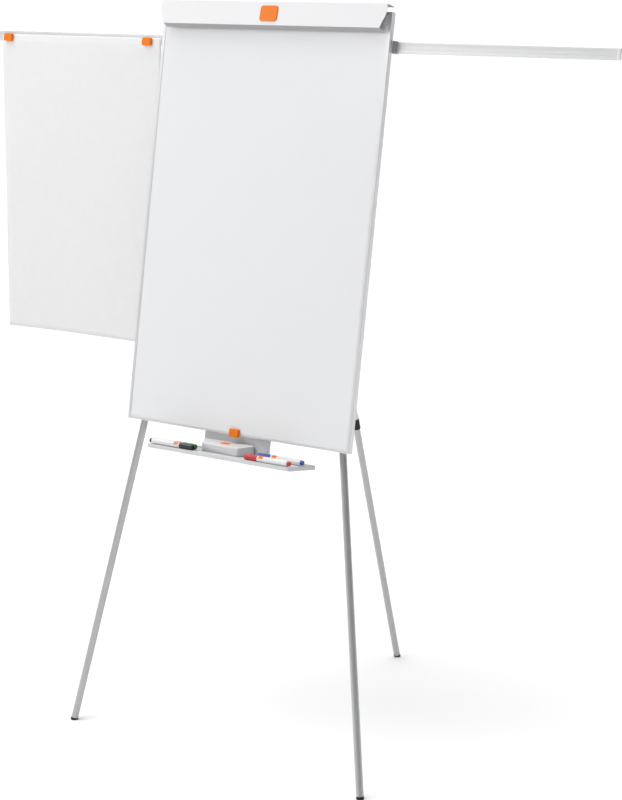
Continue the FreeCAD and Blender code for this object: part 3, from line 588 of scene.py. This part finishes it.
# ---------------------------------------------------------------------------------------------
# Magnets
# Three moulded orange tablets with a ferrite disc glued in behind. Two pinch the sheet to the arm
# and one waits on the lower frame. Their faces are left plain.
# ---------------------------------------------------------------------------------------------
for which in ("left", "right", "board"):
    eased_copy(which + "_magnet", which + "_magnet", orange, 0.0)

# ---------------------------------------------------------------------------------------------
# Tripod
# Thin aluminium tubes, drawn and polished, one sliding in the other, with black twist collars
# that grip the lower tube, moulded heads bolted behind the board, and rubber plugs as feet.
# ---------------------------------------------------------------------------------------------
rubber = skinned_material(
    "foot rubber", (0.018, 0.018, 0.018), 0.75, 0.0008, 1.0, 0.1, 0.3)[0]
for leg in ("left", "right", "rear"):
    up_leg = joints[leg + "_leg_telescope"]["axis"]
    outer_metal = drawn_material(
        leg + " outer tube", (0.56, 0.563, 0.57), 0.24, 0.8, up_leg, 0.0005, 0.4, 0.06)
    inner_metal = drawn_material(
        leg + " inner tube", (0.46, 0.463, 0.47), 0.3, 0.6, up_leg, 0.0005, 0.3, 0.05)
    eased_copy(leg + "_leg_head", leg + "_leg", mouth_grey, 0.0004)
    eased_copy(leg + "_upper_tube", leg + "_leg", outer_metal, 0.0)
    eased_copy(leg + "_collar", leg + "_collar", black, 0.0)
    eased_copy(leg + "_lower_tube", leg + "_lower_leg", inner_metal, 0.0)
    eased_copy(leg + "_foot", leg + "_lower_leg", rubber, 0.0006)

# ---------------------------------------------------------------------------------------------
# Leg brackets behind the board
# A pressed steel channel for the two front legs and a folded bracket with ears for the rear leg,
# both powder-coated grey and riveted on. Bolts and a headed pin carry the legs.
# ---------------------------------------------------------------------------------------------
eased_copy("hub_channel", "board", grey_coat, 0.0006)
eased_copy("rear_leg_bracket", "board", grey_coat, 0.0005)
eased_copy("leg_pivot_bolts", "board", plated, 0.0004)
eased_copy("rear_leg_pin", "board", plated, 0.0005)

# ---------------------------------------------------------------------------------------------
# Pen tray
# A shelf of 1.2 mm steel with its four edges folded down, hung from the foot of the board by an
# angle plate. Both are powder-coated.
# ---------------------------------------------------------------------------------------------
tray_coat = skinned_material(
    "tray powder coat", (0.62, 0.625, 0.635), 0.38, 0.0012, 0.8, 0.08, 0.02)[0]
plate_coat = skinned_material(
    "hanger powder coat", (0.76, 0.765, 0.775), 0.36, 0.0012, 0.8, 0.08, 0.02)[0]
eased_copy("tray", "board", tray_coat, 0.0003)
eased_copy("tray_bracket", "board", plate_coat, 0.0004)

# ---------------------------------------------------------------------------------------------
# Whiteboard eraser
# A moulded grip that widens towards the back, with rounded corners and a sloping top, over a
# thin pad of felt layers. A plain oval badge sits in the middle of the top.
# ---------------------------------------------------------------------------------------------
grip_plastic = skinned_material(
    "eraser grip moulding", (0.66, 0.66, 0.665), 0.4, 0.0008, 0.6, 0.08, 0.02)[0]
eased_copy("eraser_grip", "eraser", grip_plastic, 0.0)

felt, felt_tree, felt_shader = new_material("pale felt", (0.5, 0.5, 0.505), 0.95)
felt_place = add(felt_tree, "ShaderNodeTexCoord")
felt_fuzz = add(felt_tree, "ShaderNodeTexNoise",
                [("Vector", felt_place.outputs["Object"]), ("Scale", 1400.0), ("Detail", 5.0)])
felt_tone = add(felt_tree, "ShaderNodeMix",
                [("Factor", felt_fuzz.outputs["Fac"]), (6, (0.4, 0.4, 0.405, 1)),
                 (7, (0.58, 0.58, 0.585, 1))], data_type="RGBA")
felt_relief = add(felt_tree, "ShaderNodeBump",
                  [("Height", felt_fuzz.outputs["Fac"]), ("Strength", 0.6), ("Distance", 0.0006)])
felt_tree.links.new(felt_tone.outputs[2], felt_shader.inputs["Base Color"])
felt_tree.links.new(felt_relief.outputs["Normal"], felt_shader.inputs["Normal"])
felt_shader.inputs["Sheen Weight"].default_value = 0.4

FELT_LAYERS = 2
felt_work = bmesh.new()
felt_work.from_mesh(nodes["eraser_felt"].data)
bmesh.ops.remove_doubles(felt_work, verts=felt_work.verts, dist=2e-6)
bmesh.ops.dissolve_limit(felt_work, angle_limit=math.radians(1.0), verts=felt_work.verts,
                         edges=felt_work.edges)
felt_heights = [(v.co - tray_plane).dot(board_up) for v in felt_work.verts]
felt_low = min(felt_heights)
felt_thick = max(felt_heights) - felt_low
STEPS = FELT_LAYERS * 6
for step in range(1, STEPS):
    level = tray_plane + board_up * (felt_low + felt_thick * step / STEPS)
    everything = felt_work.verts[:] + felt_work.edges[:] + felt_work.faces[:]
    bmesh.ops.bisect_plane(felt_work, geom=everything, plane_co=level, plane_no=board_up, dist=1e-6)
felt_middle = sum((v.co for v in felt_work.verts), Vector()) / len(felt_work.verts)
for vert in felt_work.verts:
    out = vert.co - felt_middle
    out -= board_up * out.dot(board_up)
    part = ((vert.co - tray_plane).dot(board_up) - felt_low) / felt_thick * FELT_LAYERS
    pinch = 0.0002 * (1 - abs(math.sin(math.pi * part)))
    rough_edge = 0.0001 * (0.5 + noise.noise(vert.co * 400))
    vert.co -= out.normalized() * (pinch + rough_edge)
felt_mesh = bpy.data.meshes.new("felt_layers")
felt_work.to_mesh(felt_mesh)
felt_work.free()
felt_mesh.shade_smooth()
felt_mesh.set_sharp_from_angle(angle=math.radians(50))
felt_mesh.materials.append(felt)
felt_block = bpy.data.objects.new("felt_layers", felt_mesh)
scene.collection.objects.link(felt_block)
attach(felt_block, "eraser")
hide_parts("eraser_felt")

# The badge is a thin oval that follows the slope of the grip's top.
GRIP_SLOPE = math.atan2(0.0085, 0.0467)
BADGE_HALF_W = 0.0155
BADGE_HALF_D = 0.0085
BADGE_T = 0.0006
badge_work = bmesh.new()
RINGS = ((1.0, 0.0), (1.0, 0.6), (0.965, 0.9), (0.9, 1.0), (0.5, 1.06), (0.0, 1.08))
ROUND = 48
loops = []
for size, rise in RINGS[:-1]:
    ring = []
    for i in range(ROUND):
        turn = 2 * math.pi * i / ROUND
        ring.append(badge_work.verts.new((BADGE_HALF_W * size * math.cos(turn),
                                          BADGE_HALF_D * size * math.sin(turn), BADGE_T * rise)))
    loops.append(ring)
for lower, upper in zip(loops, loops[1:]):
    for i in range(ROUND):
        j = (i + 1) % ROUND
        badge_work.faces.new((lower[i], lower[j], upper[j], upper[i]))
badge_work.faces.new(loops[-1])
badge_work.faces.new(loops[0][::-1])
ERASER_MIDDLE = (-0.016, -0.0357 + 0.0467 / 2)
badge_height = TRAY_TOP + 0.0003 + (0.0204 + 0.0289) / 2
badge_place = (to_room @ Matrix.Translation((ERASER_MIDDLE[0], ERASER_MIDDLE[1], badge_height))
               @ Matrix.Rotation(GRIP_SLOPE, 4, "X"))
badge_work.transform(badge_place)
badge_mesh = bpy.data.meshes.new("eraser_badge")
badge_work.to_mesh(badge_mesh)
badge_work.free()
badge_mesh.shade_smooth()
badge_mesh.set_sharp_from_angle(angle=math.radians(50))
badge_mesh.materials.append(orange)
eraser_badge = bpy.data.objects.new("eraser_badge", badge_mesh)
scene.collection.objects.link(eraser_badge)
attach(eraser_badge, "eraser")

# ---------------------------------------------------------------------------------------------
# Markers
# Four dry-wipe markers: a white moulded barrel with a coloured tail plug and an orange printed
# patch beside the cap, and a coloured cap with a finely ribbed rim pushed over the nose.
# ---------------------------------------------------------------------------------------------
MARKER_R = 0.0075
MARKER_L = 0.134
CAP_L = 0.0385
TAIL_L = 0.007
SPOKES = 48
BARREL_OUTLINE = [(0.0, 0.0), (0.0046, 0.0), (0.0054, 0.0006), (0.0056, 0.0014), (0.0056, TAIL_L),
                  (0.0062, TAIL_L + 0.0002), (0.0071, TAIL_L + 0.0008), (0.0074, TAIL_L + 0.002),
                  (0.0074, MARKER_L - CAP_L - 0.0024), (0.0069, MARKER_L - CAP_L - 0.0018),
                  (0.0069, MARKER_L - CAP_L - 0.0010), (0.0074, MARKER_L - CAP_L - 0.0005),
                  (0.0050, MARKER_L - CAP_L - 0.0002), (0.0050, MARKER_L - CAP_L + 0.012),
                  (0.0034, MARKER_L - CAP_L + 0.020), (0.0021, MARKER_L - CAP_L + 0.022),
                  (0.0020, MARKER_L - CAP_L + 0.025), (0.0013, MARKER_L - CAP_L + 0.0268),
                  (0.0, MARKER_L - CAP_L + 0.027)]
CAP_OUTLINE = [(0.0055, MARKER_L - CAP_L), (0.0073, MARKER_L - CAP_L),
               (MARKER_R, MARKER_L - CAP_L + 0.0003),
               (MARKER_R, MARKER_L - CAP_L + 0.004), (0.00735, MARKER_L - CAP_L + 0.0045),
               (0.0073, MARKER_L - 0.008), (0.0072, MARKER_L - 0.0025), (0.0068, MARKER_L - 0.0008),
               (0.0060, MARKER_L), (0.0046, MARKER_L), (0.0044, MARKER_L - 0.0015),
               (0.0, MARKER_L - 0.0017), (0.0, MARKER_L - 0.004), (0.0055, MARKER_L - 0.004)]


def turned_piece(name, outline, start, direction, body, node, closed=False, ribs=0):
    """A lathe shape along a marker's axis, from (radius, distance) points."""
    work = bmesh.new()
    side = board_back
    top = board_up
    rows = []
    for radius, along in outline:
        centre = start + across * (direction * along)
        if radius == 0.0:
            rows.append([work.verts.new(centre)])
            continue
        row = []
        for i in range(SPOKES):
            turn = 2 * math.pi * i / SPOKES
            r = radius
            if ribs and radius > 0.0068 and along > MARKER_L - 0.03:
                r = radius - 0.00012 * (1 - math.cos(turn * ribs))
            row.append(work.verts.new(centre + side * (r * math.cos(turn)) + top * (r * math.sin(turn))))
        rows.append(row)
    pairs = list(zip(rows, rows[1:]))
    if closed:
        pairs.append((rows[-1], rows[0]))
    for first, second in pairs:
        for i in range(SPOKES):
            j = (i + 1) % SPOKES
            if len(first) == 1 and len(second) == 1:
                continue
            if len(first) == 1:
                work.faces.new((first[0], second[j], second[i]))
            elif len(second) == 1:
                work.faces.new((first[i], first[j], second[0]))
            else:
                work.faces.new((first[i], first[j], second[j], second[i]))
    bmesh.ops.recalc_face_normals(work, faces=work.faces)
    mesh = bpy.data.meshes.new(name)
    work.to_mesh(mesh)
    work.free()
    mesh.shade_smooth()
    mesh.set_sharp_from_angle(angle=math.radians(45))
    piece = bpy.data.objects.new(name, mesh)
    scene.collection.objects.link(piece)
    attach(piece, body)
    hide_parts(node)
    return piece


def barrel_material(colour, ink, start, direction):
    """White barrel, its tail plug and nib in the ink's colour, and an orange patch near the cap."""
    material, tree, shader = new_material(colour + " marker barrel", (0.74, 0.74, 0.74), 0.3)
    place = add(tree, "ShaderNodeTexCoord")
    shifted = add(tree, "ShaderNodeVectorMath", [(0, place.outputs["Object"]), (1, tuple(start))],
                  operation="SUBTRACT")
    along = add(tree, "ShaderNodeVectorMath", [(0, shifted.outputs[0]), (1, tuple(across * direction))],
                operation="DOT_PRODUCT")
    height = add(tree, "ShaderNodeVectorMath", [(0, shifted.outputs[0]), (1, tuple(board_up))],
                 operation="DOT_PRODUCT")
    tail = add(tree, "ShaderNodeMath", [(0, along.outputs["Value"]), (1, TAIL_L + 0.0001)],
               operation="LESS_THAN")
    nib = add(tree, "ShaderNodeMath", [(0, along.outputs["Value"]), (1, MARKER_L - CAP_L + 0.0215)],
              operation="GREATER_THAN")
    ends = add(tree, "ShaderNodeMath", [(0, tail.outputs[0]), (1, nib.outputs[0])], operation="MAXIMUM")
    from_middle = add(tree, "ShaderNodeMath",
                      [(0, along.outputs["Value"]), (1, MARKER_L - CAP_L - 0.0115)], operation="SUBTRACT")
    from_middle_size = add(tree, "ShaderNodeMath", [(0, from_middle.outputs[0])], operation="ABSOLUTE")
    in_length = add(tree, "ShaderNodeMath", [(0, from_middle_size.outputs[0]), (1, 0.0068)],
                    operation="LESS_THAN")
    on_top = add(tree, "ShaderNodeMath", [(0, height.outputs["Value"]), (1, 0.0012)],
                 operation="GREATER_THAN")
    patch = add(tree, "ShaderNodeMath", [(0, in_length.outputs[0]), (1, on_top.outputs[0])],
                operation="MULTIPLY")
    skin = add(tree, "ShaderNodeGroup", node_tree=surface_skin)
    tree.links.new(place.outputs["Object"], skin.inputs["Point"])
    printed = add(tree, "ShaderNodeMix", [("Factor", patch.outputs[0]), (6, (0.74, 0.74, 0.74, 1)),
                                          (7, (0.82, 0.19, 0.006, 1))], data_type="RGBA")
    inked = add(tree, "ShaderNodeMix", [("Factor", ends.outputs[0]), (6, printed.outputs[2]),
                                        (7, (*ink, 1))], data_type="RGBA")
    tree.links.new(inked.outputs[2], skin.inputs["Colour"])
    skin.inputs["Roughness"].default_value = 0.3
    skin.inputs["Peel size"].default_value = 0.0009
    relief = add(tree, "ShaderNodeBump", [("Height", skin.outputs["Height"]), ("Strength", 0.06),
                                          ("Distance", 0.0001)])
    tree.links.new(skin.outputs["Colour"], shader.inputs["Base Color"])
    tree.links.new(skin.outputs["Roughness"], shader.inputs["Roughness"])
    tree.links.new(relief.outputs["Normal"], shader.inputs["Normal"])
    return material


INKS = {"black": (0.02, 0.02, 0.022), "green": (0.012, 0.21, 0.045), "red": (0.52, 0.03, 0.035),
        "blue": (0.03, 0.07, 0.34)}
for colour, ink in INKS.items():
    cap_low, cap_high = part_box(colour + "_cap")
    barrel_low, barrel_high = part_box(colour + "_marker")
    direction = 1 if cap_high.x > barrel_high.x else -1
    tail_x = barrel_low.x if direction > 0 else barrel_high.x
    start = Vector((tail_x, (cap_low.y + cap_high.y) / 2, (cap_low.z + cap_high.z) / 2))
    barrel = turned_piece(colour + "_barrel", BARREL_OUTLINE, start, direction,
                          colour + "_marker", colour + "_marker")
    barrel.data.materials.append(barrel_material(colour, ink, start, direction))
    cap = turned_piece(colour + "_marker_cap", CAP_OUTLINE, start, direction, colour + "_cap",
                       colour + "_cap", closed=True, ribs=24)
    cap_plastic = skinned_material(colour + " cap moulding", ink, 0.28, 0.0009, 0.5, 0.1, 0.1)[0]
    cap.data.materials.append(cap_plastic)

# ---------------------------------------------------------------------------------------------
# Studio
# A plain pale floor and soft light: a large softbox high on the left, a broad light overhead, and a
# pale surround that is dimmer on the right, so that round and folded metal shows its shape.
# ---------------------------------------------------------------------------------------------
floor_work = bmesh.new()
FLOOR_R = 150.0
bmesh.ops.create_circle(floor_work, cap_ends=True, segments=64, radius=FLOOR_R)
floor_mesh = bpy.data.meshes.new("studio_floor")
floor_work.to_mesh(floor_mesh)
floor_work.free()
floor_paint, _, floor_shader = new_material("studio floor", (0.96, 0.96, 0.96), 0.9)
floor_shader.inputs["Specular IOR Level"].default_value = 0.0
floor_mesh.materials.append(floor_paint)
floor = bpy.data.objects.new("studio_floor", floor_mesh)
scene.collection.objects.link(floor)

world = bpy.data.worlds.new("studio surround")
scene.world = world
world.use_nodes = True
sky = world.node_tree
direction_in = add(sky, "ShaderNodeTexCoord")
DIM_SIDE = Vector((0.86, 0.3, -0.15)).normalized()
towards_dim = add(sky, "ShaderNodeVectorMath",
                  [(0, direction_in.outputs["Generated"]), (1, tuple(DIM_SIDE))], operation="DOT_PRODUCT")
surround = add(sky, "ShaderNodeValToRGB")
surround_part = add(sky, "ShaderNodeMapRange",
                    [("Value", towards_dim.outputs["Value"]), ("From Min", -1.0), ("From Max", 1.0)])
sky.links.new(surround_part.outputs[0], surround.inputs[0])
height_axes = add(sky, "ShaderNodeSeparateXYZ", [(0, direction_in.outputs["Generated"])])
overhead_part = add(sky, "ShaderNodeMapRange",
                    [("Value", height_axes.outputs["Z"]), ("From Min", 0.0), ("From Max", 0.6),
                     ("To Min", 0.27), ("To Max", 0.47)], interpolation_type="SMOOTHSTEP")
sky.links.new(overhead_part.outputs[0], sky.nodes["Background"].inputs["Strength"])
surround.color_ramp.elements[0].position = 0.0
surround.color_ramp.elements[0].color = (1.0, 1.0, 1.0, 1)
surround.color_ramp.elements[1].position = 1.0
surround.color_ramp.elements[1].color = (0.35, 0.35, 0.36, 1)
middle_tone = surround.color_ramp.elements.new(0.55)
middle_tone.color = (0.85, 0.85, 0.86, 1)
sky.links.new(surround.outputs[0], sky.nodes["Background"].inputs["Color"])


def softbox(name, place, aim, width, height, power):
    lamp = bpy.data.lights.new(name, "AREA")
    lamp.shape = "RECTANGLE"
    lamp.size = width
    lamp.size_y = height
    lamp.energy = power
    holder = bpy.data.objects.new(name, lamp)
    holder.location = place
    holder.rotation_euler = (Vector(aim) - Vector(place)).to_track_quat("-Z", "Y").to_euler()
    scene.collection.objects.link(holder)
    return holder


softbox("key softbox", (-2.0, -2.7, 3.6), (0.0, 0.0, 1.7), 2.2, 2.0, 42.0)
sun = bpy.data.lights.new("overhead light", "SUN")
sun.energy = 2.4
sun.angle = math.radians(60)
sun_holder = bpy.data.objects.new("overhead light", sun)
sun_holder.rotation_euler = (math.radians(4), math.radians(-12), 0)
scene.collection.objects.link(sun_holder)

# The camera stands at head height, to the right of the stand, and looks slightly down.
CAMERA_YAW = math.radians(34.43)
CAMERA_PITCH = math.radians(11.59)
lens = bpy.data.cameras.new("view")
lens.sensor_width = 36.0
lens.lens = 89.24
lens.shift_x = 0.0079
lens.shift_y = -0.0449
lens.clip_end = 500.0
camera = bpy.data.objects.new("view", lens)
camera.location = (2.8469, -4.17825, 1.9703)
camera.rotation_euler = (math.pi / 2 - CAMERA_PITCH, 0.0, CAMERA_YAW)
scene.collection.objects.link(camera)
scene.camera = camera
scene.view_settings.view_transform = "Standard"
